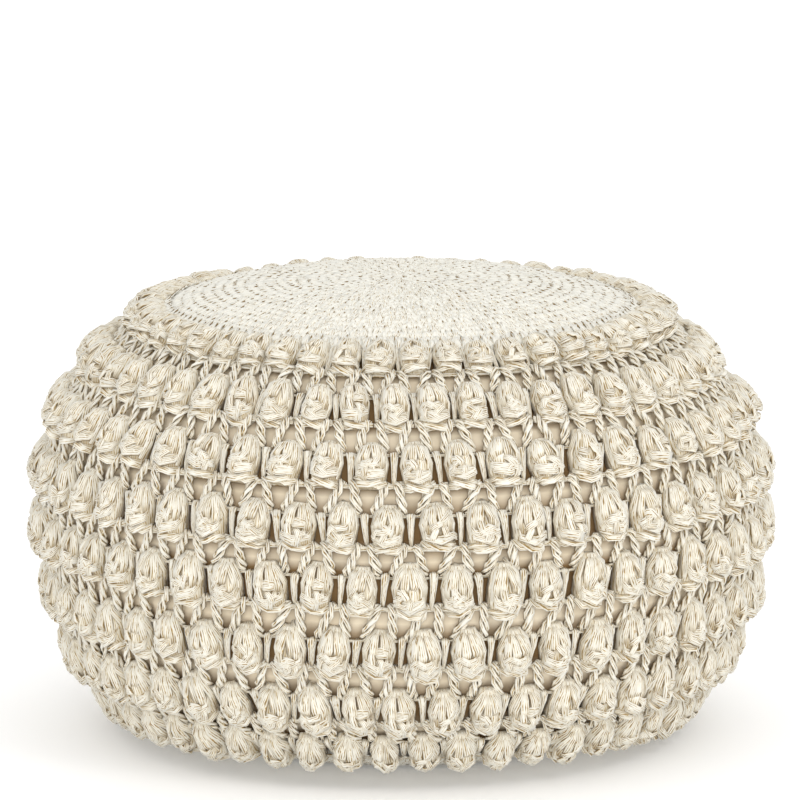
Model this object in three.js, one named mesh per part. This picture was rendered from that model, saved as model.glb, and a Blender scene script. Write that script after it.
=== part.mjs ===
// A round crochet pouf: a filled inner cushion in an openwork cotton cover.
// The cover is worked in the round, from the middle of the seat down to the base:
//   seat_disc          close single crochet, crowned over the cushion
//   bobble_round_1..8  rounds of bobble stitches, one post between each two bobbles
//   link_round_1..7    open rounds of slanting stitches that join one bobble round to the next
//   base_disc          close single crochet, a shallow dish, the face the pouf rests on
// Millimetres, +Z up. The origin is the middle of the base, on the floor.
import * as THREE from "three";

const BOBBLES_PER_ROUND = 50;
const PITCH = (2 * Math.PI) / BOBBLES_PER_ROUND;
const FRONT = -Math.PI / 2; // the front of the pouf faces -Y
const SEAM_GAP = 0.6; // left between neighbouring pieces
const TURNED_SIDES = 22;

// The cover's meridian, a row for each bobble round, from the seat down. radius and height give
// the middle of the round's back, tilt is how far its face looks above the horizon in degrees,
// and turn is where one of its bobbles stands, in bobble pitches to the right of the front.
const ROUNDS = [
  { radius: 203, height: 332.5, tilt: 54, turn: -1.62 },
  { radius: 239.5, height: 302, tilt: 42.5, turn: -1.17 },
  { radius: 268, height: 262, tilt: 25, turn: -0.67 },
  { radius: 280.5, height: 217, tilt: 9, turn: -0.25 },
  { radius: 283, height: 170, tilt: -4, turn: 0.18 },
  { radius: 274.5, height: 119.5, tilt: -15, turn: 0.5 },
  { radius: 258.5, height: 72, tilt: -28.5, turn: 0.97 },
  { radius: 231.5, height: 36, tilt: -49, turn: 1.6 },
];
const FIRST_ROUND = ROUNDS[0];
const LAST_ROUND = ROUNDS[ROUNDS.length - 1];

// A bobble round's section. Its flat back lies on the cushion, and its face is two loops around
// the pouf. down is how far a loop lies below the middle of the back, and crest and valley are how
// far it stands out on a bobble and on the post beside it.
const BOBBLE_HALF_HEIGHT = 17.5;
const SHOULDER = { down: -11, crest: 12, valley: 4 };
const BELLY = { down: 10, crest: 17, valley: 5 };
const BOBBLE_UNEVENNESS = 0.07; // share of its depth by which one bobble differs from another

const LINK_HALF_WIDTH = 2.1;
const LINK_BACK = 0.2; // from the line between two bobble rounds out to a link's back
const LINK_RIDGE = 5.2;

const DISC_THICKNESS = 8;
const SEAT_EDGE_HEIGHT = 345.5;
const SEAT_CROWN = 24.5; // rise of the seat's middle above its edge
const SEAT_FULLNESS = 3.5; // 2 is an even dome, and more keeps the seat flatter out to its rim
const SEAT_SHOULDER = 0.72; // share of the seat's radius at which it turns down to the rim
const BASE_FLAT_RADIUS = 150; // the part of the base that lies on the floor
const BASE_HEEL = new THREE.Vector2(187, 9); // where the base turns up to the last round
const CUSHION_INSET = 0.95; // from the back of the bobble rounds in to the cushion

const COTTON = { color: 0xe9e2d0, roughness: 0.95, metalness: 0 };
const CALICO = { color: 0xd9c9a6, roughness: 0.9, metalness: 0 };

// A point of the meridian plane, down and out from the middle of a round's back.
function meridianPoint(round, down, out) {
  const tilt = THREE.MathUtils.degToRad(round.tilt);
  return new THREE.Vector2(
    round.radius + out * Math.cos(tilt) + down * Math.sin(tilt),
    round.height + out * Math.sin(tilt) - down * Math.cos(tilt),
  );
}

function aroundAxis({ x: radius, y: height }, angle) {
  return new THREE.Vector3(radius * Math.cos(angle), radius * Math.sin(angle), height);
}

function bobbleAngle(round, place) {
  return FRONT + (round.turn + place) * PITCH;
}

// A closed ring whose skin runs over the loops in turn and back to the first. A loop holds one
// point for each bobble, or one for each bobble and one for each post. Each face is parted towards
// a post, so that a bobble's two sides are alike.
function ringGeometry(loops) {
  const positions = [];
  const starts = [];
  for (const loop of loops) {
    starts.push(positions.length / 3);
    for (const point of loop) positions.push(...point.toArray());
  }
  const hasPosts = (l) => loops[l].length > BOBBLES_PER_ROUND;
  const indexAt = (l, half) => {
    const place = hasPosts(l) ? half : Math.floor(half / 2);
    return starts[l] + (place % loops[l].length);
  };
  const triangles = [];
  const addTriangle = (a, b, c) => {
    if (a !== b && b !== c && c !== a) triangles.push(a, b, c);
  };
  loops.forEach((loop, l) => {
    const next = (l + 1) % loops.length;
    for (let half = 0; half < 2 * BOBBLES_PER_ROUND; half++) {
      const [a, d] = [indexAt(l, half), indexAt(l, half + 1)];
      const [b, c] = [indexAt(next, half), indexAt(next, half + 1)];
      const startsAtBobble = half % 2 === 0;
      if (startsAtBobble === hasPosts(next)) {
        addTriangle(a, b, c);
        addTriangle(a, c, d);
      } else {
        addTriangle(a, b, d);
        addTriangle(d, b, c);
      }
    }
  });
  const geometry = new THREE.BufferGeometry();
  geometry.setAttribute("position", new THREE.Float32BufferAttribute(positions, 3));
  geometry.setIndex(triangles);
  geometry.computeVertexNormals();
  return geometry;
}

// One bobble differs a little from the next, and no two rounds run alike.
function bobbleScale(roundIndex, bobble) {
  return 1 + BOBBLE_UNEVENNESS * Math.sin(bobble * bobble + roundIndex);
}

function bobbleRound(round, roundIndex) {
  const edgeLoop = (down) => {
    const loop = [];
    for (let bobble = 0; bobble < BOBBLES_PER_ROUND; bobble++)
      loop.push(aroundAxis(meridianPoint(round, down, 0), bobbleAngle(round, bobble)));
    return loop;
  };
  const faceLoop = ({ down, crest, valley }) => {
    const loop = [];
    for (let bobble = 0; bobble < BOBBLES_PER_ROUND; bobble++) {
      const out = crest * bobbleScale(roundIndex, bobble);
      loop.push(aroundAxis(meridianPoint(round, down, out), bobbleAngle(round, bobble)));
      loop.push(aroundAxis(meridianPoint(round, down, valley), bobbleAngle(round, bobble + 0.5)));
    }
    return loop;
  };
  return ringGeometry([
    edgeLoop(-BOBBLE_HALF_HEIGHT),
    faceLoop(SHOULDER),
    faceLoop(BELLY),
    edgeLoop(BOBBLE_HALF_HEIGHT),
  ]);
}

// Slanting stitches in a zigzag ring, from the posts of the round above to those of the round below.
function linkRound(above, below) {
  const start = meridianPoint(above, BOBBLE_HALF_HEIGHT, 0);
  const end = meridianPoint(below, -BOBBLE_HALF_HEIGHT, 0);
  const along = end.clone().sub(start).normalize();
  const outward = new THREE.Vector2(-along.y, along.x);
  const inset = SEAM_GAP + LINK_HALF_WIDTH;
  const top = start.addScaledVector(along, inset);
  const bottom = end.addScaledVector(along, -inset);
  const loopAt = (offset, depth) => {
    const shift = along.clone().multiplyScalar(offset).addScaledVector(outward, depth);
    const loop = [];
    for (let post = 0.5; post < BOBBLES_PER_ROUND; post++) {
      loop.push(aroundAxis(top.clone().add(shift), bobbleAngle(above, post)));
      loop.push(aroundAxis(bottom.clone().add(shift), bobbleAngle(below, post)));
    }
    return loop;
  };
  return ringGeometry([
    loopAt(-LINK_HALF_WIDTH, LINK_BACK),
    loopAt(0, LINK_RIDGE),
    loopAt(LINK_HALF_WIDTH, LINK_BACK),
  ]);
}

// A turned solid from points of the meridian plane, which start and end on the axis.
function turned(profile) {
  return new THREE.LatheGeometry(profile, TURNED_SIDES).rotateX(Math.PI / 2);
}

// The seat fills the first bobble round, whose own top edge has flat sides.
const SEAT_RADIUS =
  meridianPoint(FIRST_ROUND, -BOBBLE_HALF_HEIGHT, 0).x * Math.cos(PITCH / 2) - SEAM_GAP;

// A point on the seat's top, or so far below it, at a share of the seat's radius.
function seatPoint(share, below) {
  const height = SEAT_EDGE_HEIGHT + SEAT_CROWN * (1 - share ** SEAT_FULLNESS) - below;
  return new THREE.Vector2(share * SEAT_RADIUS, height);
}

function seatDisc() {
  return turned([
    seatPoint(0, DISC_THICKNESS),
    seatPoint(SEAT_SHOULDER, DISC_THICKNESS),
    seatPoint(1, DISC_THICKNESS),
    seatPoint(1, 0),
    seatPoint(SEAT_SHOULDER, 0),
    seatPoint(0, 0),
  ]);
}

function baseDisc() {
  const rim = BOBBLE_HALF_HEIGHT + SEAM_GAP;
  return turned([
    new THREE.Vector2(0, 0),
    new THREE.Vector2(BASE_FLAT_RADIUS, 0),
    BASE_HEEL,
    meridianPoint(LAST_ROUND, rim, 0),
    meridianPoint(LAST_ROUND, rim, -DISC_THICKNESS),
    new THREE.Vector2(BASE_FLAT_RADIUS, DISC_THICKNESS),
    new THREE.Vector2(0, DISC_THICKNESS),
  ]);
}

// The filled pad: flat below, full at the waist, drawn in at the shoulders, crowned under the seat.
function innerCushion() {
  const floor = DISC_THICKNESS + SEAM_GAP;
  const sides = ROUNDS.map((round) => meridianPoint(round, 0, -CUSHION_INSET));
  return turned([
    new THREE.Vector2(0, floor),
    new THREE.Vector2(BASE_FLAT_RADIUS - SEAM_GAP, floor),
    meridianPoint(LAST_ROUND, BOBBLE_HALF_HEIGHT, -floor),
    ...sides.reverse(),
    seatPoint(1, floor),
    seatPoint(SEAT_SHOULDER, floor),
    seatPoint(0, floor),
  ]);
}

function piece(name, geometry, finish) {
  const mesh = new THREE.Mesh(geometry, new THREE.MeshStandardMaterial(finish));
  mesh.name = name;
  return mesh;
}

const pouf = new THREE.Group();
pouf.add(piece("inner_cushion", innerCushion(), CALICO));
pouf.add(piece("seat_disc", seatDisc(), COTTON));
pouf.add(piece("base_disc", baseDisc(), COTTON));
ROUNDS.forEach((round, index) => {
  pouf.add(piece(`bobble_round_${index + 1}`, bobbleRound(round, index), COTTON));
  const below = ROUNDS[index + 1];
  if (below) pouf.add(piece(`link_round_${index + 1}`, linkRound(round, below), COTTON));
});

export default pouf;
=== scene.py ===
# %% [markdown]
# # A crochet pouf
# The real thing is a filled cushion in an openwork cotton cover, crocheted in one go from the
# middle of the seat down to the base. Eight rounds of bobble stitches run around it, and seven
# rounds of slanting stitches join them, with the cushion's cloth showing between.
#
# The cover could be one sculpted surface or a displaced texture. Real stitches are chosen: each is
# a knot of thin strands, made once in a few versions and repeated by Geometry Nodes. Stitches are
# drawn in millimetres, and MM turns them into Blender's metres.

# %% Load the frame
import math

import bpy
import numpy as np
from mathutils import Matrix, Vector


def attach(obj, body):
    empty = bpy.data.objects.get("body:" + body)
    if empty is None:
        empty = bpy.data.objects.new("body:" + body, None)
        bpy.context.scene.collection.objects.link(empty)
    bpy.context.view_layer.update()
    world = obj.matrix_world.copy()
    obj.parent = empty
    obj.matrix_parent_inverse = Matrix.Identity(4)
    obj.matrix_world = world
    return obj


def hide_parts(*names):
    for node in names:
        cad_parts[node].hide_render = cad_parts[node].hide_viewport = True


MM = 0.001
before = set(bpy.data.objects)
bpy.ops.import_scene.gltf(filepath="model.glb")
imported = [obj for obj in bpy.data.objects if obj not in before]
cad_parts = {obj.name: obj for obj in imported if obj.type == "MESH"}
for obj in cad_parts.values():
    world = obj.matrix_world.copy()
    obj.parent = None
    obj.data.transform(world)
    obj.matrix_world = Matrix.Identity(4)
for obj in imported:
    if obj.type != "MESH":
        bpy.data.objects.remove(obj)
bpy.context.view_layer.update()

# %% [markdown]
# ## Where the rounds run
# A bobble round of the frame is a ring on a cone. In the plane through the axis its section has a
# straight back, whose two ends are the section's farthest points. They give the round's radius,
# height and tilt, and the corners of its top edge give where the bobbles stand. The sizes could be
# typed in again, but sizes read from the frame follow every change of the solids.

# %% Read the rounds
BOBBLES = 50
PITCH = math.tau / BOBBLES
ROUND_COUNT = 8
ONE_CORNER = 0.05  # points of a section that are closer than this are one corner


def node_section(node):
    """A node's points as (radius, height), and their angles around the axis."""
    points = np.array([v.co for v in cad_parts[node].data.vertices]) / MM
    section = np.column_stack([np.hypot(points[:, 0], points[:, 1]), points[:, 2]])
    return section, np.arctan2(points[:, 1], points[:, 0])


def read_round(node):
    """A round's middle, its way up its back, and the angle of one of its bobbles."""
    section, angles = node_section(node)
    spread = np.linalg.norm(section[:, None] - section[None], axis=2)
    ends = section[list(np.unravel_index(spread.argmax(), spread.shape))]
    foot, top = ends[ends[:, 1].argsort()]
    at_top = np.linalg.norm(section - top, axis=1) < ONE_CORNER
    start = np.angle(np.exp(1j * BOBBLES * angles[at_top]).mean()) / BOBBLES
    up = (top - foot) / np.linalg.norm(top - foot)
    return {"middle": (top + foot) / 2, "up": up, "start": start}


def meridian(round_, up, out):
    """The point (radius, height) so far up and out from the middle of a round's back."""
    along = round_["up"]
    outward = np.array([along[1], -along[0]])
    return round_["middle"] + up * along + out * outward


rounds = [read_round(f"bobble_round_{n}") for n in range(1, ROUND_COUNT + 1)]
for number, each in enumerate(rounds, 1):
    start = round(each["start"] / PITCH, 2)
    print("round", number, "middle", each["middle"].round(1), "starts at", start, "pitches")

# %% [markdown]
# ## Maths for node trees
# Trees could be wired by hand in the node editor, but sums are easier to read. `Value` wraps a
# socket, so that `1 - mask` adds a Math node, and `Graph.node` makes any other node from its type,
# its inputs and its settings.

# %% Values in sums
def operator(operation):
    """A Python operator that adds a Math node, and its form for a number on the left."""

    def plain(self, other):
        return self.graph.maths(operation, self, other)

    def reflected(self, other):
        return self.graph.maths(operation, other, self)

    return plain, reflected


class Value:
    """An output socket that can be used in sums."""

    __add__, __radd__ = operator("ADD")
    __sub__, __rsub__ = operator("SUBTRACT")
    __mul__, __rmul__ = operator("MULTIPLY")
    __truediv__, __rtruediv__ = operator("DIVIDE")
    __pow__, __rpow__ = operator("POWER")

    def __init__(self, graph, socket):
        self.graph = graph
        self.socket = socket

    def function(self, operation):
        """A Math node with this value as its only input."""
        return self.graph.maths(operation, self)

    def output(self, name):
        """Another output of the same node."""
        return Value(self.graph, self.socket.node.outputs[name])


print("sums ready")

# %% Node helper
class Graph:
    """A node tree to which nodes are added one call at a time."""

    def __init__(self, tree):
        self.tree = tree

    def node(self, kind, inputs=None, output=0, **settings):
        """Adds a node: its settings are set first, then its inputs, by name or by place."""
        made = self.tree.nodes.new(kind)
        for name, setting in settings.items():
            if name == "stops":
                self.set_stops(made.color_ramp, setting)
            else:
                setattr(made, name, setting)
        usable = [socket for socket in made.inputs if socket.enabled]
        for name, value in (inputs or {}).items():
            by_name = (socket for socket in usable if socket.name == name)
            socket = usable[name] if isinstance(name, int) else next(by_name)
            if isinstance(value, Value):
                self.tree.links.new(value.socket, socket)
            else:
                socket.default_value = value
        outputs = [socket for socket in made.outputs if socket.enabled]
        return Value(self, outputs[output]) if outputs else None

    @staticmethod
    def set_stops(ramp, stops):
        while len(ramp.elements) < len(stops):
            ramp.elements.new(1.0)
        for element, (position, colour) in zip(ramp.elements, stops):
            element.position = position
            element.color = (*colour, 1.0)

    def maths(self, operation, *values):
        return self.node("ShaderNodeMath", dict(enumerate(values)), operation=operation)

    def vectors(self, operation, *values):
        return self.node("ShaderNodeVectorMath", dict(enumerate(values)), operation=operation)

    def mix_colours(self, factor, *colours):
        """The first colour where factor is 0 and the second where it is 1."""
        ends = [end if isinstance(end, Value) else (*end, 1.0) for end in colours]
        return self.node("ShaderNodeMix", dict(enumerate([factor, *ends])), data_type="RGBA")

    def stretched(self, vector, scale):
        return self.node("ShaderNodeMapping", {"Vector": vector, "Scale": scale})

    def noise(self, vector, scale, detail):
        inputs = {"Vector": vector, "Scale": scale, "Detail": detail}
        return self.node("ShaderNodeTexNoise", inputs)

    def attribute(self, name):
        return self.node("ShaderNodeAttribute", attribute_name=name).output("Fac")


print("node helper ready")

# %% [markdown]
# ## The cotton yarn
# The yarn is undyed cotton, cream with a few dark flecks of seed husk, and tan shade is painted in
# the grooves. A pattern placed in space would cut across the strands, so this one follows the
# yarn's
# UV map: U counts the strands, whole in a groove and a half on a ridge, and V runs along them.
# Noise along V parts some strands by a groove of dark painted shade. The attribute `depth`
# paints brown shade on what lies deep in the cover, and `tone` makes one strand warmer than the
# next.

# %% Yarn colours
# Cream and the husk's fleck are the yarn's own colours. The others are painted shade: tan down a
# strand's side and in its grooves, dark where strands part, and brown deep in the cover. The side's
# tan also warms some strands at random, as the yarn's own uneven tone.
YARN_CREAM = (0.80, 0.788, 0.73)
YARN_TAN_AND_SIDE_SHADE = (0.69, 0.595, 0.38)
YARN_GROOVE_SHADE = (0.46, 0.28, 0.12)
YARN_GAP_SHADE = (0.16, 0.085, 0.02)
YARN_DEEP_SHADE = (0.59, 0.44, 0.17)
YARN_FLECK = (0.48, 0.33, 0.17)
GROOVE_TO_RIDGE = [(0.0, YARN_GAP_SHADE), (0.08, YARN_GROOVE_SHADE), (0.16, YARN_TAN_AND_SIDE_SHADE), (0.28, YARN_CREAM)]
PARTING_STRETCH = (1.0, 110.0, 1.0)  # a parting is about a centimetre long
FIBRE_STRETCH = (4.0, 900.0, 1.0)
GROOVE_SWAY = 0.7  # how far a groove wanders, in strands


def strand_shade(graph, strand, depth):
    """Cream on a strand's ridge, with painted shade: tan down its side, dark where it parts from
    the next.
    """
    along = graph.stretched(strand, PARTING_STRETCH)
    sway = (graph.noise(along, 1.6, 1.0) - 0.5) * GROOVE_SWAY
    across = graph.node("ShaderNodeSeparateXYZ", {"Vector": strand}) + sway
    crest = 1 - (across.function("FRACT") * 2 - 1).function("ABSOLUTE")
    parting = (graph.noise(along, 1.0, 2.0) - 0.5) * 3.0 - depth * 0.3
    light = crest + (1 - crest) * parting
    return graph.node("ShaderNodeValToRGB", {0: light}, stops=GROOVE_TO_RIDGE)


def yarn_colour(graph, strand, place, patches):
    """A strand's shade, with brown shade painted where it lies deep, uneven, and flecked with husk.
    """
    depth = graph.attribute("depth")
    shade_brown = graph.mix_colours(depth, YARN_DEEP_SHADE, YARN_GAP_SHADE)
    shaded_strand = graph.mix_colours(depth * 0.85, strand_shade(graph, strand, depth), shade_brown)
    uneven = patches * 0.06 + graph.attribute("tone") * 0.1
    warmer = graph.mix_colours(uneven, shaded_strand, YARN_TAN_AND_SIDE_SHADE)
    specks = graph.noise(place, 260.0, 1.0)
    few = {"Value": specks, "From Min": 0.74, "From Max": 0.78}
    husk = graph.node("ShaderNodeMapRange", few)
    return graph.mix_colours(husk * 0.7, warmer, YARN_FLECK)


print("the yarn's ramp has", len(GROOVE_TO_RIDGE), "stops")

# %% Cotton yarn
def new_material(name):
    material = bpy.data.materials.new(name)
    material.use_nodes = True
    material.node_tree.nodes.clear()
    return material, Graph(material.node_tree)


def finish_material(graph, inputs):
    """Ends a material in a Principled shader with these inputs."""
    shader = graph.node("ShaderNodeBsdfPrincipled", inputs)
    graph.node("ShaderNodeOutputMaterial", {"Surface": shader})


def yarn_material():
    material, graph = new_material("cotton_yarn")
    strand = graph.node("ShaderNodeUVMap", uv_map="UVMap")
    place = graph.node("ShaderNodeTexCoord").output("Object")
    patches = graph.noise(place, 30.0, 3.0)
    fibres = graph.noise(graph.stretched(strand, FIBRE_STRETCH), 1.0, 2.0)
    relief = {"Strength": 0.35, "Distance": 0.0004, "Height": fibres}
    look = {
        "Base Color": yarn_colour(graph, strand, place, patches),
        "Roughness": 0.82 + patches * 0.12,
        "Specular IOR Level": 0.12,
        "Sheen Weight": 0.1,
        "Normal": graph.node("ShaderNodeBump", relief),
    }
    finish_material(graph, look)
    return material


yarn = yarn_material()
print("yarn has", len(yarn.node_tree.nodes), "nodes")

# %% [markdown]
# ## A yarn of strands
# The yarn is up to four thin strands that lie side by side. Each strand could be a curve with a
# round bevel, but thousands of them would be heavy and would let the light through. So a yarn is
# one closed ribbon, domed as the real one is, with a straying ridge for each strand.

# %% Paths
def unit(vectors):
    return vectors / np.linalg.norm(vectors, axis=-1, keepdims=True)


def bend(points, steps):
    """A smooth path through the pull of a few points (a Bezier curve of any degree)."""
    share = np.linspace(0, 1, steps + 1)[:, None]
    last = len(points) - 1
    return sum(
        math.comb(last, i) * share**i * (1 - share) ** (last - i) * np.array(point, float)
        for i, point in enumerate(points)
    )


def path_sides(path, outward):
    """The ways sideways and outwards at each point of a path whose face looks outward."""
    along = unit(np.gradient(path, axis=0))
    side = unit(np.cross(along, np.broadcast_to(outward, path.shape)))
    return side, np.cross(side, along)


def tube_faces(rows, columns):
    """The faces of a closed tube: both ends, then quads between its rings of points."""
    faces = [list(range(columns))[::-1], [(rows - 1) * columns + c for c in range(columns)]]
    for row in range(rows - 1):
        for column in range(columns):
            a, b = row * columns + column, row * columns + (column + 1) % columns
            faces.append([a, b, b + columns, a + columns])
    return faces


print("a tube of 3 rings has", len(tube_faces(3, 9)), "faces")

# %% Deep places
CREVICE_REACH = 4.5
CREVICE_STRENGTH = 3.3
HOLE_SHADE = 0.8  # the painted shade that is written on a hole's points, which makes it dark
LESS_GROOVE_SHADE = -0.7  # and on a stitch that is bright all over, which pales the painted shade in its grooves


def crevice_shade(points, normals):
    """How deep each point lies among those around it, as shade to paint: 0 on a ridge, 1 in a
    crevice.
    """
    apart = points[None] - points[:, None]
    distance = np.linalg.norm(apart, axis=2) + 0.001
    near = distance < CREVICE_REACH
    above = np.clip(np.einsum("ijk,ik->ij", apart, normals) / distance, 0, 1)
    crowded = (near * above).sum(axis=1) / near.sum(axis=1)
    return np.clip(crowded * CREVICE_STRENGTH, 0, 1)


def shade_to_paint(points, normals, deep):
    """How deep each point of a stitch lies in the cover, as shade to paint: browner below deep."""
    if not deep:
        return np.full(len(points), LESS_GROOVE_SHADE)
    sunk = np.clip(1 - points[:, 2] / deep, 0, 1)
    sunk *= 0.8 - 0.5 * np.clip((points[:, 1] - 8) / 10, 0, 1)  # less shade is painted on its top end, which faces the light
    return np.maximum(crevice_shade(points, normals), sunk)


print("a crevice reaches", CREVICE_REACH, "mm")

# %% Knot of yarns
STRAND_WIDTH = 1.9
EDGE_DROP = 0.8  # a ribbon's edges lie so far below its face
UNEVEN = 0.17  # how far a strand strays, in strands
FULL_RIDGE = 0.7  # at this ridge a strand strays as far up and down as sideways
TIP_WIDTH = 0.75  # a ribbon's two ends are narrower and lower
TIP_HEIGHT = 0.6
TIP_DROP = 0.3
PLAIT_FLATNESS = 0.6


class Knot:
    """Collects the yarns of one stitch, in millimetres, and makes them one mesh."""

    def __init__(self, seed, deep=5.5, ridge=0.48):
        self.random = np.random.default_rng(seed)
        self.ridge = ridge  # how far a strand stands above the grooves beside it
        self.deep = deep  # below this height shade is painted on the yarn, browner, or 0 where it is bright all over
        self.faces = []
        self.parts = []

    def add(self, points, faces, strand_uv, tones, hole=False):
        first = sum(len(part[0]) for part in self.parts)
        self.faces += [[first + corner for corner in face] for face in faces]
        self.parts.append((points, strand_uv, tones, np.full(len(points), hole)))

    def yarn(self, path, outward, strands, pitch, dome=0.6):
        """Strands side by side along a path, with their ridges towards outward.

        pitch is the distance between strands, in all or at each point of the path, and dome is how
        far the middle strands stand above the outer ones.
        """
        rows, columns = len(path), 2 * strands + 1
        side, out = path_sides(path, outward)
        place = np.linspace(-1, 1, columns)
        ridges = np.arange(columns) % 2
        stray = self.random.normal(0, UNEVEN, columns)
        stray = stray + self.random.normal(0, UNEVEN, (rows, columns))
        across = (place * strands / 2 + stray * ridges) * (pitch * np.ones(rows))[:, None]
        height = dome * (1 - place**2) + self.ridge * ridges + stray * self.ridge / FULL_RIDGE
        height[:, [0, -1]] = -EDGE_DROP
        across[[0, -1]] *= TIP_WIDTH
        height[[0, -1]] = height[[0, -1]] * TIP_HEIGHT - TIP_DROP
        points = path[:, None] + across[..., None] * side[:, None]
        points = points + height[..., None] * out[:, None]
        steps = np.linalg.norm(np.diff(path, axis=0), axis=1)
        length = np.concatenate([[0], np.cumsum(steps)]) * MM + self.random.uniform(0, 9)
        strand_uv = np.column_stack([np.tile(np.arange(columns) / 2, rows), length.repeat(columns)])
        tones = np.tile(self.random.random(columns), rows)
        self.add(points.reshape(-1, 3), tube_faces(rows, columns), strand_uv, tones)

    def plait(self, path, outward, turns, begin, plies, strands, spread, pitch, dome):
        """Yarns that wind around a path together, spread from it, with their ridges outward."""
        side, front = path_sides(path, outward)
        for ply in range(plies):
            angle = math.tau * (ply / plies + turns * np.linspace(0, 1, len(path)) + begin)
            away = np.cos(angle)[:, None] * side + PLAIT_FLATNESS * np.sin(angle)[:, None] * front
            self.yarn(path + spread * away, front + 0.4 * away, strands, pitch, dome)

    def mesh(self, name):
        points, strand_uv, tones, holes = map(np.concatenate, zip(*self.parts))
        data = bpy.data.meshes.new(name)
        data.from_pydata(points * MM, [], self.faces)
        write_uv(data, strand_uv)
        write_attribute(data, "tone", tones)
        data.shade_smooth()
        normals = np.zeros(3 * len(points))
        data.vertex_normals.foreach_get("vector", normals)
        depth = shade_to_paint(points, normals.reshape(-1, 3), self.deep)
        write_attribute(data, "depth", np.where(holes, HOLE_SHADE, depth))
        return data


def write_uv(data, point_uv):
    """Gives a mesh a UV map from one place for each point."""
    corners = np.zeros(len(data.loops), int)
    data.loops.foreach_get("vertex_index", corners)
    data.uv_layers.new(name="UVMap").data.foreach_set("uv", point_uv[corners].ravel())


def write_attribute(data, name, values):
    data.attributes.new(name, "FLOAT", "POINT").data.foreach_set("value", values)


def triangle_count(mesh):
    return sum(len(face.vertices) - 2 for face in mesh.polygons)


print("a strand is about", STRAND_WIDTH, "mm wide")

# %% [markdown]
# ## The bobble stitch
# A bobble is five tall stitches worked into one place and drawn together at the top. Strands fan
# out from there over a fat belly, down to a small tangle where the hook closed the stitch. Two
# loops pass beneath it, and a thick twisted cord ends the bobble. It could be sculpted once, but
# laid strand by strand every version differs. The belly is an egg, whose half width and depth
# follow root curves above and below its waist, and strands are laid on it by angle and height.

# %% Bobble shape
HALF_WIDTH = 12.0
DEPTH = 18.0
WAIST = -6.0
RISE = 29.5  # from the waist to the top of the egg
DROP = 12.0  # and to its foot
WIDTH_ROOTS = (0.3, 0.16)  # above and below the waist, fuller where the root is smaller
DEPTH_ROOTS = (0.55, 0.4)
ROUNDNESS = 0.85  # 1 is an ellipse across, and less is boxier
BOBBLE_STRANDS = 4


def bobble_section(height):
    """A bobble's half width and depth at a height."""
    above = height > WAIST
    share = np.where(above, (height - WAIST) / RISE, (WAIST - height) / DROP)
    room = np.clip(1 - share**2, 0.001, 1.0)
    wide, deep = (room ** np.where(above, *roots) for roots in (WIDTH_ROOTS, DEPTH_ROOTS))
    return HALF_WIDTH * wide, DEPTH * deep


def on_bobble(route):
    """Points and outward ways for a route of (across, height, lift), mm on the belly's skin."""

    def skin(across, at):
        wide, deep = bobble_section(at)
        sine, cosine = np.sin(across / HALF_WIDTH), np.cos(across / HALF_WIDTH)
        x = wide * np.sign(sine) * abs(sine) ** ROUNDNESS
        return np.column_stack([x, at, deep * np.sign(cosine) * abs(cosine) ** ROUNDNESS])

    across, height, lift = route.T
    sideways = skin(across + 0.1, height) - skin(across - 0.1, height)
    outward = unit(np.cross(sideways, skin(across, height + 0.1) - skin(across, height - 0.1)))
    return skin(across, height) + lift[:, None] * outward, outward


def lay_yarn(knot, bends, pitches, steps, mess):
    """A yarn on a bobble along (across, height, lift) bends, each strayed from by mess.

    pitches are its strands' distances at the start, in the middle and at the end.
    """
    bends = np.array(bends, float)
    bends += knot.random.normal(0, mess, bends.shape) * (1, 1, 0.3)
    path, outward = on_bobble(bend(bends, steps))
    pitch = bend([[pitch] for pitch in pitches], steps).ravel()
    knot.yarn(path, outward, BOBBLE_STRANDS, pitch)


print("a bobble is", 2 * HALF_WIDTH, "mm wide and", DEPTH, "mm deep")

# %% Parts of a bobble
CORE_SIDES = 8
CORE_HEIGHTS = np.linspace(-16.2, 21.5, 5)
CORE_LIFT = 0.1
CORD = {"plies": 2, "strands": 4, "spread": 2.2, "pitch": 1.6, "dome": 1.4}


def bobble_core(knot):
    """The closed inside of a bobble. Its UV map draws the strands that lie deeper."""
    rings = len(CORE_HEIGHTS)
    across = np.tile(np.linspace(-1, 1, CORE_SIDES) * HALF_WIDTH * np.pi / 2, rings)
    height = CORE_HEIGHTS.repeat(CORE_SIDES)
    points, _ = on_bobble(np.column_stack([across, height, np.full(len(across), CORE_LIFT)]))
    strand_uv = np.column_stack([across / STRAND_WIDTH, height * MM])
    knot.add(points, tube_faces(rings, CORE_SIDES), strand_uv, np.ones(len(points)))


def bobble_legs(knot):
    """Strands that fan out from the drawn top over the belly."""
    random = knot.random
    for share in random.permutation(np.linspace(-1, 1, 6)):
        twist, end = random.normal(0, 1.1), random.normal(2, 2) - 11 * abs(share)
        leg = [(9 * share - twist, 22.6, -0.9), (12 * share, 18, 1.5)]
        leg += [(18 * share + twist, 5, 1.6), (16 * share + twist, end, -0.6)]
        lay_yarn(knot, leg, (0.9, 2.15, 1.8), 3, mess=0.7)


def bobble_loops(knot):
    """Two loops that sag from side to side under the tangle."""
    for low in (-15, -10):
        lean = knot.random.normal(0, 2, 2)
        loop = [(-16, 3 + lean[0], -0.8), (-12, low, 2.4), (12, low, 2.4), (16, 3 + lean[1], -0.8)]
        lay_yarn(knot, loop, (0.9, 2.1, 0.9), 4, mess=1.0)


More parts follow.
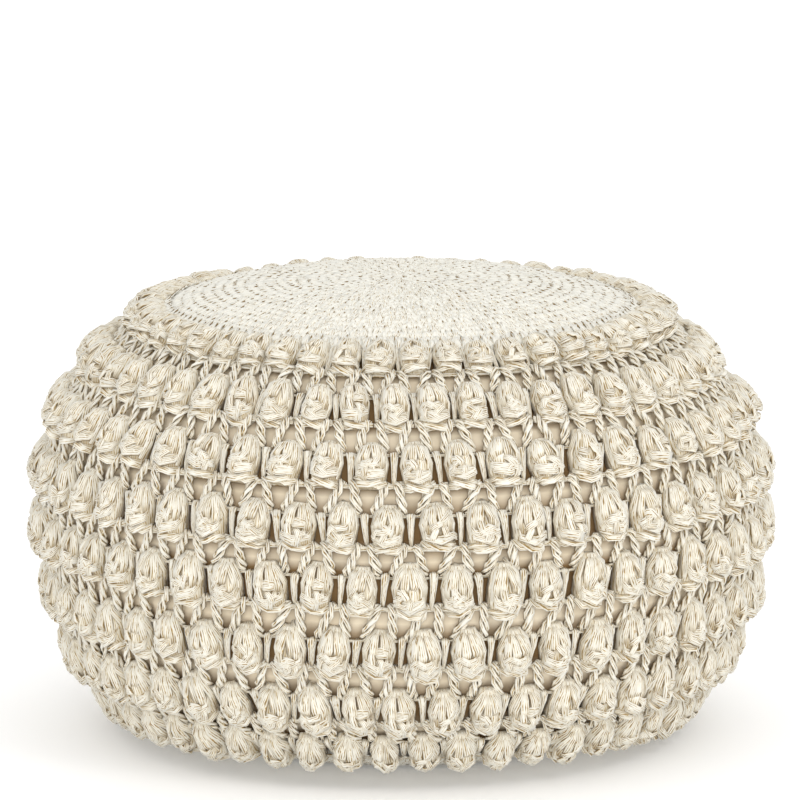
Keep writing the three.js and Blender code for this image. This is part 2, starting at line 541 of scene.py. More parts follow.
def bobble_tangle(knot):
    """Short loops that cross in the middle, each heading its own way."""
    random = knot.random
    hub = random.normal((0, -2), 1.2)
    for turn in random.permutation(6):
        heading = math.pi * turn / 6 + random.normal(0, 0.3)
        middle = hub + random.normal(0, 1, 2) * (4.2, 4)
        ahead = np.array([math.cos(heading), math.sin(heading)])
        aside = np.array([-ahead[1], ahead[0]]) * random.normal(0, 4)
        reach = random.uniform(6.5, 9) * ahead
        loop = [(*(middle - reach), -1.2), (*(middle + aside), 5), (*(middle + reach), -1.2)]
        lay_yarn(knot, loop, (0.9, 2.0, 0.9), 3, mess=0.5)


def bobble_cord(knot):
    """The twisted cord that ends the bobble below."""
    random = knot.random
    tips = random.normal(0, 1.8, 2)
    cord = [(-11, -11.5 + tips[0], 5), (-9, -15.5, 15), (8, -16, 15.5), (11, -12.5 + tips[1], 5)]
    turns = random.choice([-1, 1]) * random.uniform(0.5, 0.9)
    knot.plait(bend(cord, 4), (0, 0, 1), turns, random.random(), **CORD)


print("a core is", np.ptp(CORE_HEIGHTS), "mm tall")

# %% Bobble versions
BOBBLE_SHADE_HEIGHT = 9.5  # below this height brown shade is painted on a bobble's yarn


def bobble_stitch(seed):
    knot = Knot(seed, BOBBLE_SHADE_HEIGHT)
    for lay_part in (bobble_core, bobble_legs, bobble_loops, bobble_tangle, bobble_cord):
        lay_part(knot)
    return knot.mesh(f"bobble_{seed}")


def stitch_collection(name, make, seeds):
    """A stitch's versions for the trees. It stays out of the scene, so nothing of it shows."""
    collection = bpy.data.collections.new(name)
    meshes = [make(seed) for seed in seeds]
    for mesh in meshes:
        collection.objects.link(bpy.data.objects.new(mesh.name, mesh))
    print(name, len(meshes), "versions,", max(map(triangle_count, meshes)), "triangles at most")
    return collection


bobble_stitches = stitch_collection("bobble stitches", bobble_stitch, range(12))

# %% [markdown]
# ## Posts and chain
# Between two bobbles stands a post: one plain tall stitch, hooked over what lies above it and
# narrower towards its foot. Under the round runs a chain of three strands, and a thin bar of two
# ties the posts to the bobbles' shoulders. They could all be one mesh, but apart the posts can
# wobble while the chain stays unbroken.

# %% Post versions
HOOK = (0, 4, -3)  # a hooked yarn bends around this place and faces away from it
POST_PITCHES = np.array([1.3, 1.7, 1.9, 1.6, 1.3, 1.0, 0.8])


def post_stitch(seed):
    knot = Knot(seed)
    lean, foot = knot.random.normal(0, 0.9, 2)
    path = bend([(0, 9, 0.5), (0, 17, 3), (lean, 13, 7.5), (foot, -4, 4), (foot, -14, 2.5)], 6)
    knot.yarn(path, path - HOOK, 4, POST_PITCHES, dome=1.3)
    astray = bend([(2 + lean, 12, 6.5), (-1, 2, 7.5), (foot - 1.5, -12, 3)], 3)
    knot.yarn(astray, astray - HOOK, 1, 1.3, dome=0.3)
    return knot.mesh(f"post_{seed}")


post_stitches = stitch_collection("post stitches", post_stitch, range(100, 105))

# %% Chain and bar versions
FULL_PITCH = 37.0  # a chain is drawn as long as this, and scaled to each round's own pitch
OVERLAP = 0.5
CHAIN_HEIGHT = -14.2
BAR_HEIGHT = 10.8


def chain_stitch(seed):
    knot = Knot(seed)
    half = FULL_PITCH / 2
    end = half + OVERLAP
    wander = knot.random.normal(0, 0.6, 3)
    chain = [(-end, CHAIN_HEIGHT, 3.5), (-half / 3, CHAIN_HEIGHT + wander[0], 4)]
    chain += [(half / 3, CHAIN_HEIGHT + wander[1], 4), (end, CHAIN_HEIGHT, 3.5)]
    knot.yarn(bend(chain, 3), (0, 0, 1), 3, 1.8, dome=0.5)
    bar = [(-end, BAR_HEIGHT, 2.5), (0, BAR_HEIGHT + wander[2], 2.5), (end, BAR_HEIGHT, 2.5)]
    knot.yarn(bend(bar, 2), (0, 0, 1), 2, 1.6, dome=0.3)
    return knot.mesh(f"chain_{seed}")


chain_stitches = stitch_collection("chain stitches", chain_stitch, range(200, 205))

# %% [markdown]
# ## Slanting links
# A link is a cord of three twisted yarns of two strands each, hooked over the chain above and
# worked into the top of a post below. One twisted shape would do from afar, but separate yarns
# leave the real cord's dark grooves between them.

# %% Link versions
LINK = {"plies": 3, "strands": 2, "spread": 2.8, "pitch": 1.9, "dome": 0.6}
LINK_LENGTH = 24.0


def link_stitch(seed):
    knot = Knot(seed)
    random = knot.random
    half = LINK_LENGTH / 2
    sway = random.normal(0, 0.8)
    bends = [(0, half + 1, 1), (0, half + 5, 6.5), (sway, 3, 4.5), (0, -half, 4.5)]
    path = bend(bends + [(0, -half - 3, 1.5)], 7)
    turns = random.choice([-1, 1]) * random.uniform(1.2, 1.5)
    knot.plait(path, path - HOOK, turns, random.random(), **LINK)
    return knot.mesh(f"link_{seed}")


link_stitches = stitch_collection("link stitches", link_stitch, range(300, 306))

# %% [markdown]
# ## Stitches around the pouf
# The same few stitches repeat around every round. They could be copied in Python, but a Geometry
# Nodes tree keeps the sizes as inputs that can be tried by hand. It makes a point for each stitch,
# turns it to face out, picks a version and loosens it a little.

# %% Inputs of a tree
INPUT_TYPES = {
    "Geometry": "NodeSocketGeometry",
    "Stitches": "NodeSocketCollection",
    "Material": "NodeSocketMaterial",
    "Count": "NodeSocketInt",
    "Seed": "NodeSocketInt",
}
SHARED_INPUTS = [*INPUT_TYPES, "Width", "Length", "Roll", "Wobble", "Growth", "Slip"]


def new_tree(name, own_inputs):
    """A geometry tree with the shared inputs and its own, and the sockets of all by name."""
    inputs = SHARED_INPUTS + own_inputs
    tree = bpy.data.node_groups.new(name, "GeometryNodeTree")
    for label in inputs:
        kind = INPUT_TYPES.get(label, "NodeSocketFloat")
        tree.interface.new_socket(label, in_out="INPUT", socket_type=kind)
    tree.interface.new_socket("Geometry", in_out="OUTPUT", socket_type="NodeSocketGeometry")
    graph = Graph(tree)
    entry = graph.node("NodeGroupInput")
    return tree, graph, {label: entry.output(label) for label in inputs}


print("trees share", len(SHARED_INPUTS), "inputs")

# %% Loose stitches
def stray_vector(graph, given, label, draw, reach=(1, 1, 1)):
    """A random vector for each stitch, as far either way as reach times the labelled input."""
    least = tuple(-way for way in reach)
    inputs = {"Min": least, "Max": reach, "Seed": given["Seed"] + draw}
    drawn = graph.node("FunctionNodeRandomValue", inputs, data_type="FLOAT_VECTOR")
    return graph.vectors("SCALE", drawn, given[label])


def loose_turn(graph, given, turn):
    """A stitch's turn after its own roll and wobble."""
    roll = graph.node("ShaderNodeCombineXYZ", {"Z": given["Roll"]})
    wobble = graph.vectors("ADD", stray_vector(graph, given, "Wobble", 1), roll)
    own_turn = graph.node("FunctionNodeEulerToRotation", {0: wobble})
    inputs = {"Rotation": turn, "Rotate By": own_turn}
    return graph.node("FunctionNodeRotateRotation", inputs, rotation_space="LOCAL")


def loose_size(graph, given):
    """A stitch's size, which is the piece's width and length with some growth."""
    growth = graph.vectors("ADD", stray_vector(graph, given, "Growth", 2), (1, 1, 1))
    inputs = {"X": given["Width"], "Y": given["Length"], "Z": 1.0}
    return graph.vectors("MULTIPLY", growth, graph.node("ShaderNodeCombineXYZ", inputs))


def scatter(graph, given, position, turn):
    """Puts a stitch at each point and ends the tree: position and turn are fields."""
    points = graph.node("GeometryNodePoints", {"Count": given["Count"], "Position": position})
    apart = {"Collection": given["Stitches"], "Separate Children": True, "Reset Children": True}
    draw = {"Min": 0, "Max": 999, "Seed": given["Seed"]}
    placing = {
        "Points": points,
        "Instance": graph.node("GeometryNodeCollectionInfo", apart),
        "Pick Instance": True,
        "Instance Index": graph.node("FunctionNodeRandomValue", draw, data_type="INT"),
        "Rotation": loose_turn(graph, given, turn),
        "Scale": loose_size(graph, given),
    }
    placed = graph.node("GeometryNodeInstanceOnPoints", placing)
    slip = {"Instances": placed, "Translation": stray_vector(graph, given, "Slip", 3, (1, 1, 0.4))}
    slipped = graph.node("GeometryNodeTranslateInstances", slip)
    joined = graph.node("GeometryNodeJoinGeometry", {"Geometry": slipped})
    graph.tree.links.new(given["Geometry"].socket, joined.socket.node.inputs[0])
    real = graph.node("GeometryNodeRealizeInstances", {"Geometry": joined})
    paint = {"Geometry": real, "Material": given["Material"]}
    painted = graph.node("GeometryNodeSetMaterial", paint)
    graph.node("NodeGroupOutput", {"Geometry": painted})


print("scatter ready")

# %% Tree for a ring of stitches
def on_circle(graph, radius, angle, height):
    """The place at an angle of a circle around the pouf's axis."""
    x, y = radius * angle.function("COSINE"), radius * angle.function("SINE")
    return graph.node("ShaderNodeCombineXYZ", {"X": x, "Y": y, "Z": height})


def facing_out(graph, lean, angle):
    """The turn of a stitch that leans so far over and faces out at an angle of the circle."""
    turn = graph.node("ShaderNodeCombineXYZ", {"X": lean, "Z": angle + math.pi / 2})
    return graph.node("FunctionNodeEulerToRotation", {0: turn})


def ring_tree():
    tree, graph, given = new_tree("ring of stitches", ["Radius", "Height", "Tilt", "Start"])
    step = graph.node("GeometryNodeInputIndex") / given["Count"]
    angle = given["Start"] + step * math.tau
    position = on_circle(graph, given["Radius"], angle, given["Height"])
    scatter(graph, given, position, facing_out(graph, math.pi / 2 - given["Tilt"], angle))
    return tree


ring = ring_tree()
print("ring tree has", len(ring.nodes), "nodes")

# %% [markdown]
# ## From tree to mesh
# A piece starts as an empty mesh and gets a modifier for each kind of stitch on it. These could
# stay live, but here the evaluated result becomes the piece's mesh, and the modifiers go.

# %% Piece helper
dressed = []


def show(name, data):
    shown = bpy.data.objects.new(name, data)
    bpy.context.scene.collection.objects.link(shown)
    return shown


def crochet(name, layers, ground=None):
    """A mesh made by trees, on a ground mesh. A layer is a tree and its inputs' values by name."""
    piece = show(name, ground or bpy.data.meshes.new(name))
    for tree, values in layers:
        modifier = piece.modifiers.new(tree.name, "NODES")
        modifier.node_group = tree
        for socket in tree.interface.items_tree:
            if socket.in_out == "INPUT" and socket.name in values:
                modifier[socket.identifier] = values[socket.name]
    evaluated = piece.evaluated_get(bpy.context.evaluated_depsgraph_get())
    piece.data = bpy.data.meshes.new_from_object(evaluated)
    piece.data.name = name
    piece.modifiers.clear()
    print(name, triangle_count(piece.data), "triangles")
    return piece


def dress(piece, slot, *nodes):
    """Hands a finished piece to the frame in place of its nodes."""
    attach(piece, "root")
    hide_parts(*nodes)
    dressed.append(piece)


print("piece helper ready")

# %% Inputs that the trees share
def loose(stitches, seed, play=(0.0, 0.0, 0.0), width=1.0, length=1.0, roll=0.0):
    """The shared inputs. play is wobble in degrees, growth as a share and slip in millimetres."""
    wobble, growth, slip = play
    return {
        "Stitches": stitches,
        "Material": yarn,
        "Seed": seed,
        "Wobble": math.radians(wobble),
        "Growth": growth,
        "Slip": slip * MM,
        "Width": width,
        "Length": length,
        "Roll": roll,
    }


def around(spot, up, start=0.0, count=BOBBLES):
    """The inputs of a ring at a spot, (radius, height), with its stitches' way up, (in, up)."""
    return {
        "Count": count,
        "Radius": float(spot[0]) * MM,
        "Height": float(spot[1]) * MM,
        "Tilt": math.atan2(-up[0], up[1]),
        "Start": start,
    }


def leaned_out(up, degrees):
    """A round's way up, (in, up), leaned outward by so much."""
    cosine, sine = math.cos(math.radians(degrees)), math.sin(math.radians(degrees))
    return np.array([up[0] * cosine + up[1] * sine, up[1] * cosine - up[0] * sine])


print("a ring has", BOBBLES, "stitches")

# %% [markdown]
# ## Bobble rounds
# A round is a ring of bobbles, a ring of posts half a pitch further on, and a ring of chain. They
# could be scaled with the round, but real ones only get narrower where it is small. The top two
# rounds droop more than their solids, and the first is short, because the seat pulls at it.

# %% Bobble rounds
TOP_DROOP = [7, 16]  # degrees
TOP_LENGTH = 0.86
ROOMY_PITCH = 33.5  # bobbles that stand closer than this are narrower
SQUEEZE = 0.35
BOBBLE_PLAY = (7, 0.08, 1.1)
POST_PLAY = (6, 0.1, 0.9)

for index, each in enumerate(rounds):
    pitch = PITCH * each["middle"][0]
    narrow = min(1.0, pitch / ROOMY_PITCH) ** SQUEEZE
    tall = TOP_LENGTH if index == 0 else 1.0
    up = leaned_out(each["up"], TOP_DROOP[index] if index < len(TOP_DROOP) else 0)
    on_bobbles = around(each["middle"], up, each["start"])
    on_posts = around(each["middle"], each["up"], each["start"] + PITCH / 2)
    on_chain = around(each["middle"], each["up"], each["start"])
    bobbles = loose(bobble_stitches, 11 + index, BOBBLE_PLAY, width=narrow, length=tall)
    posts = loose(post_stitches, 31 + index, POST_PLAY, width=narrow)
    chains = loose(chain_stitches, 51 + index, width=pitch / FULL_PITCH)
    layers = [(ring, bobbles | on_bobbles), (ring, posts | on_posts), (ring, chains | on_chain)]
    bobble_round = crochet(f"bobble_stitches_{index + 1}", layers)
    dress(bobble_round, "cotton_yarn", f"bobble_round_{index + 1}")

# %% [markdown]
# ## Link rounds
# Two links meet on each post, one from the left and one from the right. How far each leans depends
# on how the bobbles of the two rounds are staggered. One zigzag mesh could follow the solids, but
# single links can be stretched and rolled until each reaches its post.

# %% Link rounds
CHAIN_LEVEL = -12.0
POST_TOP_LEVEL = 15.0
LINK_DEPTH = 0.5
LINK_PLAY = (3, 0.05, 0.4)
LEFT_TOP, LEFT_FOOT = 0.12, -0.19  # in pitches, the top from a post above, the foot from one below
RIGHT_TOP, RIGHT_FOOT = 0.84, 0.18


def link_ring(above, below, top_turn, foot_turn, seed):
    """Links from one round down to the next. Turns are in pitches from a post of the upper one."""
    top = meridian(above, CHAIN_LEVEL, LINK_DEPTH)
    foot = meridian(below, POST_TOP_LEVEL, LINK_DEPTH)
    middle = (top + foot) / 2
    drop = np.linalg.norm(top - foot)
    lean = (foot_turn - top_turn) * PITCH * middle[0]
    start = above["start"] + PITCH * (0.5 + (top_turn + foot_turn) / 2)
    size, roll = math.hypot(drop, lean) / LINK_LENGTH, math.atan2(lean, drop)
    inputs = loose(link_stitches, seed, LINK_PLAY, length=size, roll=roll)
    return ring, inputs | around(middle, (top - foot) / drop, start)


for index, (above, below) in enumerate(zip(rounds, rounds[1:])):
    stagger = (below["start"] - above["start"]) / PITCH % 1
    layers = [
        link_ring(above, below, LEFT_TOP, stagger + LEFT_FOOT, 71 + index),
        link_ring(above, below, RIGHT_TOP, stagger + RIGHT_FOOT, 91 + index),
    ]
    links = crochet(f"link_stitches_{index + 1}", layers)
    dress(links, "cotton_yarn", f"link_round_{index + 1}")

# %% [markdown]
# ## Single crochet
# Seat and base are plain single crochet worked in a spiral from the middle, each stitch a small V
# with a hole at its foot. Rings would need a count for each. A spiral needs none: if every stitch
# covers the same area, stitch number i lies at the radius of a disc of i such areas, and the angle
# follows from one row height for each turn.

# %% Single crochet versions
STITCH_WIDTH = 8.5
ROW_HEIGHT = 8.4
SINGLE_RIDGE = 0.28
SINGLE_PITCHES = (1.2, 1.45, 1.4)
OPEN_VERSIONS = (0, 2)  # of every five: the others' holes are nearly closed
NEARLY_CLOSED = 0.3


def single_stitch(seed):
    knot = Knot(seed, deep=0, ridge=SINGLE_RIDGE)
    for side in (-1, 1):
        foot, top, rise = np.array([3.1, 1.6, 0.5]) + knot.random.normal(0, 0.22, 3)
        bends = [(side * foot, 6.2, -0.2), (side * foot, 1, rise), (side * top, -6, -0.2)]
        knot.yarn(bend(bends, 2), (0, 0, 1), 3, SINGLE_PITCHES, dome=0.3)
    openness = 1.0 if seed % 5 in OPEN_VERSIONS else NEARLY_CLOSED
    long, wide = knot.random.uniform((1.5, 0.5), (3.0, 0.9)) * openness
    # a shallow pit, dark all over with painted shade, stands for the shadow in the stitch's hole
    hole = [(-wide, 5, 0.4), (0, 5 - long, 0.4), (wide, 5, 0.4), (0, 5 + long, 0.4), (0, 5, -1)]
    faces = [[0, 1, 2, 3], [1, 0, 4], [2, 1, 4], [3, 2, 4], [0, 3, 4]]
    knot.add(np.array(hole), faces, np.zeros((5, 2)), np.ones(5), hole=True)
    return knot.mesh(f"single_{seed}")


single_stitches = stitch_collection("single crochet", single_stitch, range(400, 410))

# %% Tree for a spiral of stitches
FULLNESS = 3.5  # 2 is an even dome, and more keeps it flatter out to its rim


def spiral_tree():
    sizes = ["Stitch Width", "Row Height", "Radius", "Edge Height", "Crown", "Fullness", "Facing"]
    tree, graph, given = new_tree("spiral of stitches", sizes)
    area = given["Stitch Width"] * given["Row Height"] / math.pi
    radius = ((graph.node("GeometryNodeInputIndex") + 0.5) * area) ** 0.5
    angle = radius / given["Row Height"] * math.tau
    share = radius / given["Radius"]
    height = given["Edge Height"] + given["Crown"] * (1 - share ** given["Fullness"])
    steepness = given["Fullness"] * share ** (given["Fullness"] - 1)
    slope = (given["Crown"] * steepness / given["Radius"]).function("ARCTANGENT")
    turn = facing_out(graph, given["Facing"] + slope, angle)
    scatter(graph, given, on_circle(graph, radius, angle, height), turn)
    return tree


def disc_inputs(reach, radius, stitch, edge_height, crown, facing):
    """The inputs of a spiral out to reach, on a crown that has its edge at the radius."""
    width, height = stitch
    return {
        "Count": int(math.pi * (reach - height / 2) ** 2 / (width * height)),
        "Stitch Width": width * MM,
        "Row Height": height * MM,
        "Radius": radius * MM,
        "Edge Height": edge_height * MM,
        "Crown": crown * MM,
        "Fullness": FULLNESS,
        "Facing": facing,
    }


spiral = spiral_tree()
print("spiral tree has", len(spiral.nodes), "nodes")

# %% Turned shape
UV_RADIUS = 250  # the UV map is as wide as a shape of this radius is around
BACKING_SIDES = 100
BACKING_TONE = 0.5


def turned_mesh(name, profile, sides):
    """A closed mesh turned from (radius, height) points that start and end on the axis.

    Its UV map holds metres around it and along the profile.
    """
    profile = np.array(profile, float)
    along = np.concatenate([[0], np.cumsum(np.linalg.norm(np.diff(profile, axis=0), axis=1))])
    angles = np.arange(sides) * math.tau / sides
    points, point_uv = [(0, 0, profile[0, 1])], [(0, 0)]
    for (radius, height), length in zip(profile[1:-1], along[1:-1]):
        points += zip(radius * np.cos(angles), radius * np.sin(angles), np.full(sides, height))
        point_uv += zip(angles * UV_RADIUS, np.full(sides, length))
    rings, top = len(profile) - 2, len(points)
    points.append((0, 0, profile[-1, 1]))
    point_uv.append((0, along[-1]))
    faces = []
    for place in range(sides):
        beside = (place + 1) % sides
        faces.append([0, 1 + beside, 1 + place])
        for row in range(rings - 1):
            a, b = 1 + row * sides + place, 1 + row * sides + beside
            faces.append([a, b, b + sides, a + sides])
        faces.append([top - sides + place, top - sides + beside, top])
    data = bpy.data.meshes.new(name)
    data.from_pydata(np.array(points) * MM, [], faces)
    write_uv(data, np.array(point_uv) * MM)
    data.shade_smooth()
    return data


def backing_mesh(name, profile):
    """The tight back of the stitches: a thin closed sheet of strands."""
    data = turned_mesh(name, profile, BACKING_SIDES)
    for corner in data.uv_layers["UVMap"].data:
        corner.uv.x /= STRAND_WIDTH * MM
    write_attribute(data, "tone", np.full(len(data.vertices), BACKING_TONE))
    return data


print("a backing has", BACKING_SIDES, "sides")

# %% [markdown]
# ## The seat
# The cushion crowns the seat, which is nearly flat in the middle and rounded down to the first
# bobbles. A disc with a texture would look flat at its rim. So the spiral of stitches lies on the
# crown of the frame's disc, over a thin backing that closes the gaps, and a ring of larger stitches
# turns down over the rim.

# %% Seat
YARN_THICKNESS = 2.5
BACKING_FACE, BACKING_BACK = 0.3, 3.0  # so far below the yarn lie the backing's two sides
BACKING_OUT = 4.0  # so far past the disc runs the backing
SPIRAL_OUT = 2.0
RIM_OUT = 3.0
RIM_LIFT = 8.0  # how much further out the stitches' crown reaches, which lifts their rim
RIM_WAY = (-0.8, 0.6)
RIM_PLAY = (5, 0.08, 0.5)
CROWN_PLAY = (5, 0.08, 0.6)

seat_section, _ = node_section("seat_disc")
seat_radius = seat_section[:, 0].max()
seat_edge = seat_section[seat_section[:, 0] > seat_radius - 0.1, 1].max()
seat_crown = seat_section[:, 1].max() - seat_edge


def seat_height(radius, below):
    share = radius / (seat_radius + RIM_LIFT)
    return seat_edge + seat_crown * (1 - share**FULLNESS) - below


seat_radii = np.linspace(0, seat_radius + BACKING_OUT, 12)
seat_top = [(r, seat_height(r, YARN_THICKNESS + BACKING_FACE)) for r in seat_radii]
seat_back = [(r, seat_height(r, YARN_THICKNESS + BACKING_BACK)) for r in seat_radii]
rim_spot = (seat_radius + RIM_OUT, seat_height(seat_radius + RIM_OUT, YARN_THICKNESS))
on_rim = around(rim_spot, RIM_WAY, count=int(math.tau * seat_radius / STITCH_WIDTH))
reach, radius = seat_radius + SPIRAL_OUT, seat_radius + RIM_LIFT
edge, stitch = seat_edge - YARN_THICKNESS, (STITCH_WIDTH, ROW_HEIGHT)
on_crown = disc_inputs(reach, radius, stitch, edge, seat_crown, facing=0.0)
rim_stitches = loose(single_stitches, 8, RIM_PLAY, width=1.1, length=1.3)
crown_stitches = loose(single_stitches, 5, CROWN_PLAY)
layers = [(ring, rim_stitches | on_rim), (spiral, crown_stitches | on_crown)]
seat_backing = backing_mesh("seat_backing", seat_back + seat_top[::-1])
seat = crochet("seat_stitches", layers, seat_backing)
dress(seat, "cotton_yarn", "seat_disc")

# %% [markdown]
# ## The base
# The base lies flat on the floor and turns up to the last bobble round. One spiral could be bent to
# that shape, but a spiral on the flat and four rings up the slope need no bending.

# %% Base
BASE_STITCH = (11.6, 11.6)
BASE_HEIGHT = 2.7
BACKING_HEIGHT = 2.6
INSIDE_HEIGHT = 5.0  # of the backing's inner side
HEEL_SHIFTS = (-2.5, 1.5), (-4, 4)  # from the disc's heel to the backing's, outside and inside
RIM_SHIFTS = (1.5, 1.5), (0, 4)
FLOOR_REACH = 0.01  # lower points lie on the floor
BASE_GROWTH = 1.3  # larger than the seat's stitches
RING_SHARES = (0.1, 0.39, 0.68, 0.96)  # of the way from the flat's edge to the rim
RING_OUT = (1.5, -1.5)  # from the backing out to the rings' stitches
RING_STITCH = 11
RING_PLAY = (4, 0.06, 0.4)
FLAT_PLAY = (4, 0.05, 0.3)

base_section, _ = node_section("base_disc")
on_floor = base_section[:, 1] < FLOOR_REACH
base_flat = base_section[on_floor, 0].max()
off_floor = base_section[~on_floor & (base_section[:, 0] > base_flat + 1)]
base_heel = off_floor[off_floor[:, 1].argmin()]
base_rim = base_section[base_section[:, 0].argmax()]
print("base flat to", base_flat.round(1), "heel", base_heel.round(1), "rim", base_rim.round(1))

flat_edge, slope_end = np.array([base_flat, BACKING_HEIGHT]), base_rim + RIM_SHIFTS[0]
base_path = [(0, BACKING_HEIGHT), flat_edge, base_heel + HEEL_SHIFTS[0], slope_end]
base_inside = [(0, INSIDE_HEIGHT), (base_flat - 1, INSIDE_HEIGHT)]
base_inside += [base_heel + HEEL_SHIFTS[1], base_rim + RIM_SHIFTS[1]]
layers = []
for number, share in enumerate(RING_SHARES):
    spot = flat_edge * (1 - share) + slope_end * share + RING_OUT
    stitches = loose(single_stitches, 41 + number, RING_PLAY, BASE_GROWTH, length=1.35)
    way, count = unit(slope_end - flat_edge), int(math.tau * spot[0] / RING_STITCH)
    layers.append((ring, stitches | around(spot, way, count=count)))
stitches = loose(single_stitches, 6, FLAT_PLAY, BASE_GROWTH, BASE_GROWTH)
on_flat = disc_inputs(base_flat, base_flat, BASE_STITCH, BASE_HEIGHT, crown=0.0, facing=math.pi)
layers.append((spiral, stitches | on_flat))
base_backing = backing_mesh("base_backing", [*base_path, *base_inside[::-1]])
base = crochet("base_stitches", layers, base_backing)
dress(base, "cotton_yarn", "base_disc")

# %% [markdown]
# ## The cushion inside
# The pad is sewn of plain calico and packed tight. The rounds of bobbles hold it in, and it swells
# between them. A modelled bulge would be even all around, so the cloth is simulated: a turned grid,
# pinned under the bobbles, a little too large for its place and blown up by pressure. Shade is
# painted on the calico under the bobbles, where little light reaches it.

# %% Calico
CALICO_PALE = (0.88, 0.79, 0.63)
CALICO_DARK = (0.76, 0.64, 0.46)
CALICO_UNDER_SHADE = (0.20, 0.11, 0.035)
WEAVE_SCALE = 500.0


def calico_material():
    material, graph = new_material("cushion_calico")
    place = graph.node("ShaderNodeTexCoord").output("Object")
    calico = graph.mix_colours(graph.noise(place, 18.0, 3.0), CALICO_PALE, CALICO_DARK)
    thread = graph.node("ShaderNodeUVMap", uv_map="UVMap")
    bands = {"Vector": thread, "Scale": WEAVE_SCALE}
    weft, warp = (
        graph.node("ShaderNodeTexWave", bands, output=1, bands_direction=way) for way in "XY"
    )
    relief = {"Strength": 0.3, "Distance": 0.0003, "Height": weft + warp}
    # painted shade: the calico turns brown where the attribute under marks it as hidden under the
    # bobbles
    look = {
        "Base Color": graph.mix_colours(graph.attribute("under") * 0.95, calico, CALICO_UNDER_SHADE),
        "Roughness": 0.9,
        "Specular IOR Level": 0.2,
        "Normal": graph.node("ShaderNodeBump", relief),
    }
    finish_material(graph, look)
    return material


calico = calico_material()
print("calico has", len(calico.node_tree.nodes), "nodes")

# %% Cushion
CLOTH_STEP = 8.0
CLOTH_SIDES = 200
FOOT_RADIUS = 90
SIDE_HEIGHTS = (45, 330)  # the part of the cushion that is free to swell
SHADE_REACH = 20.5  # from the middle of a bobble round out to where no shade is left
SHADE_FADE = 6.0

cushion_section, _ = node_section("inner_cushion")
outline = {(round(r, 1), round(z, 1)) for r, z in cushion_section if r > 1}
corners = np.array(sorted(outline, key=lambda corner: corner[1]))
reach = np.concatenate([[0], np.cumsum(np.linalg.norm(np.diff(corners, axis=0), axis=1))])
steps = np.linspace(0, reach[-1], int(reach[-1] / CLOTH_STEP))
side_path = np.column_stack([np.interp(steps, reach, corners[:, axis]) for axis in (0, 1)])
foot, crown = corners[0, 1], cushion_section[:, 1].max()
cushion_path = [(0, foot), (FOOT_RADIUS, foot), *side_path, (0, crown)]
cushion_mesh = turned_mesh("cushion", cushion_path, CLOTH_SIDES)
round_middles = np.array([each["middle"] for each in rounds])
spots = np.array([v.co for v in cushion_mesh.vertices]) / MM
spots = np.column_stack([np.hypot(spots[:, 0], spots[:, 1]), spots[:, 2]])
nearest = np.linalg.norm(spots[:, None] - round_middles[None], axis=2).min(axis=1)
on_side = (spots[:, 1] > SIDE_HEIGHTS[0]) & (spots[:, 1] < SIDE_HEIGHTS[1])
# how much shade to paint on the cloth, near the middle of each bobble round
write_attribute(cushion_mesh, "under", np.clip((SHADE_REACH - nearest) / SHADE_FADE, 0, 1))
cushion_mesh.materials.append(calico)
cushion = show("cushion", cushion_mesh)
print("cushion", triangle_count(cushion_mesh), "triangles")

# %% Swell
HELD_HALF = 11.0  # a bobble round holds the cloth so far from its middle
MOST_SWELL = 2.5
SWELL_FRAMES = 20
PRESSURE = 4.0
LOOSE_CUT = -0.04  # the cloth is cut larger by this share


def points_of(mesh):
    points = np.zeros(3 * len(mesh.vertices))
    mesh.vertices.foreach_get("co", points)
    return points.reshape(-1, 3)


def swell(piece, held):
    """Blows a piece up as cloth under pressure, and keeps each point within MOST_SWELL."""
    group = piece.vertex_groups.new(name="held")
    group.add([int(i) for i in np.flatnonzero(held)], 1.0, "REPLACE")
    cloth = piece.modifiers.new("filling", "CLOTH")
    cloth.settings.vertex_group_mass = "held"
    cloth.settings.use_pressure = True
    cloth.settings.uniform_pressure_force = PRESSURE
    cloth.settings.shrink_min = LOOSE_CUT
    cloth.settings.effector_weights.gravity = 0.0
    cloth.settings.quality = 4
    for step in range(1, SWELL_FRAMES + 1):
        bpy.context.scene.frame_set(step)
    evaluated = piece.evaluated_get(bpy.context.evaluated_depsgraph_get())
    before, after = points_of(piece.data), points_of(evaluated.data)
    piece.modifiers.clear()
    piece.vertex_groups.clear()
    size = np.linalg.norm(after - before, axis=1, keepdims=True)
    share = np.minimum(1, MOST_SWELL * MM / np.maximum(size, 1e-9))
    piece.data.vertices.foreach_set("co", (before + (after - before) * share).ravel())
    piece.data.update()
    bpy.context.scene.frame_set(1)
    print(piece.name, "swells by", (size.max() / MM).round(1), "mm at most before it is capped")


swell(cushion, (nearest < HELD_HALF) | ~on_side)
dress(cushion, "cushion_cloth", "inner_cushion")

# %% [markdown]
# ## The studio
# The pouf stands on a plain pale floor, which could be a curved backdrop but looks the same from
# every side as it is. It glows a little, so that the shadow on it stays faint. One sun would throw
# hard shadows, so the light is soft: a white world, a small soft box high on the right that shapes
# the bobbles, and a wide one in front that fills their shadows. The camera looks down a little,
# through a long lens from far off, which keeps the rounds even.

# %% Floor
FLOOR_HALF = 15.0  # metres
FLOOR_GREY = (0.94, 0.94, 0.94, 1)
WHITE = (1, 1, 1, 1)
FLOOR_GLOW = 0.12

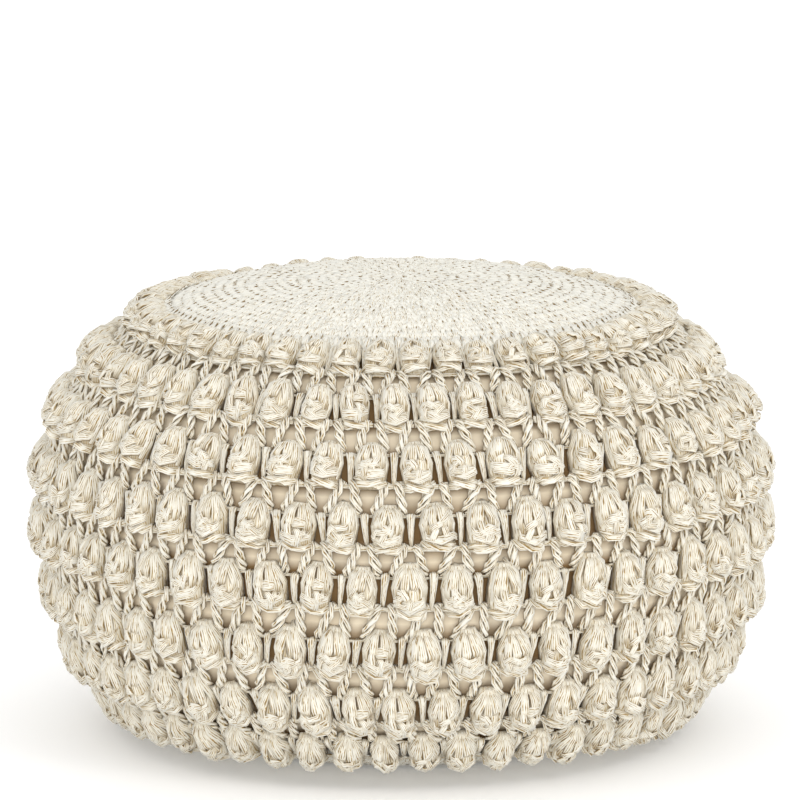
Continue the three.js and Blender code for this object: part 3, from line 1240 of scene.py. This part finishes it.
low, high = -FLOOR_HALF, FLOOR_HALF
floor_corners = [(low, low, 0), (high, low, 0), (high, high, 0), (low, high, 0)]
floor_mesh = bpy.data.meshes.new("floor")
floor_mesh.from_pydata(floor_corners, [], [(0, 1, 2, 3)])
floor = show("floor", floor_mesh)
floor_material, floor_graph = new_material("pale_floor")
glow = {"Emission Color": WHITE, "Emission Strength": FLOOR_GLOW}
finish_material(floor_graph, {"Base Color": FLOOR_GREY, "Roughness": 0.9} | glow)
floor_mesh.materials.append(floor_material)
print("the floor is", 2 * FLOOR_HALF, "m wide")

# %% Light
WORLD_STRENGTH = 1.1
MIDDLE = (0, 0, 0.18)

world = bpy.data.worlds.new("studio")
bpy.context.scene.world = world
world.use_nodes = True
background = world.node_tree.nodes["Background"]
background.inputs["Color"].default_value = WHITE
background.inputs["Strength"].default_value = WORLD_STRENGTH


def soft_light(name, place, size, power):
    """A round soft box, aimed at the middle of the pouf. Metres and watts."""
    lamp = bpy.data.lights.new(name, "AREA")
    lamp.shape = "DISK"
    lamp.size = size
    lamp.energy = power
    light = show(name, lamp)
    light.location = place
    light.rotation_euler = (Vector(MIDDLE) - Vector(place)).to_track_quat("-Z", "Y").to_euler()
    print(name, "light", power, "W")


soft_light("key", place=(1.9, -2.4, 2.6), size=1.1, power=14)
soft_light("front", place=(0.1, -4.5, 1.0), size=2.0, power=52)

# %% Camera
CAMERA_DISTANCE = 6.0
CAMERA_RISE = math.radians(10.4)
AIM = Vector((-0.0008, 0, 0.2675))

camera_data = bpy.data.cameras.new("camera")
camera_data.sensor_width = 36
camera_data.lens = 335.6
camera = show("camera", camera_data)
back = Vector((0, -math.cos(CAMERA_RISE), math.sin(CAMERA_RISE)))
camera.location = AIM + back * CAMERA_DISTANCE
camera.rotation_euler = (-back).to_track_quat("-Z", "Y").to_euler()
bpy.context.scene.camera = camera
bpy.context.scene.view_settings.view_transform = "Standard"
print("the camera stands", CAMERA_DISTANCE, "m away")

# %% Hand over
print("triangles in all", sum(triangle_count(piece.data) for piece in dressed))
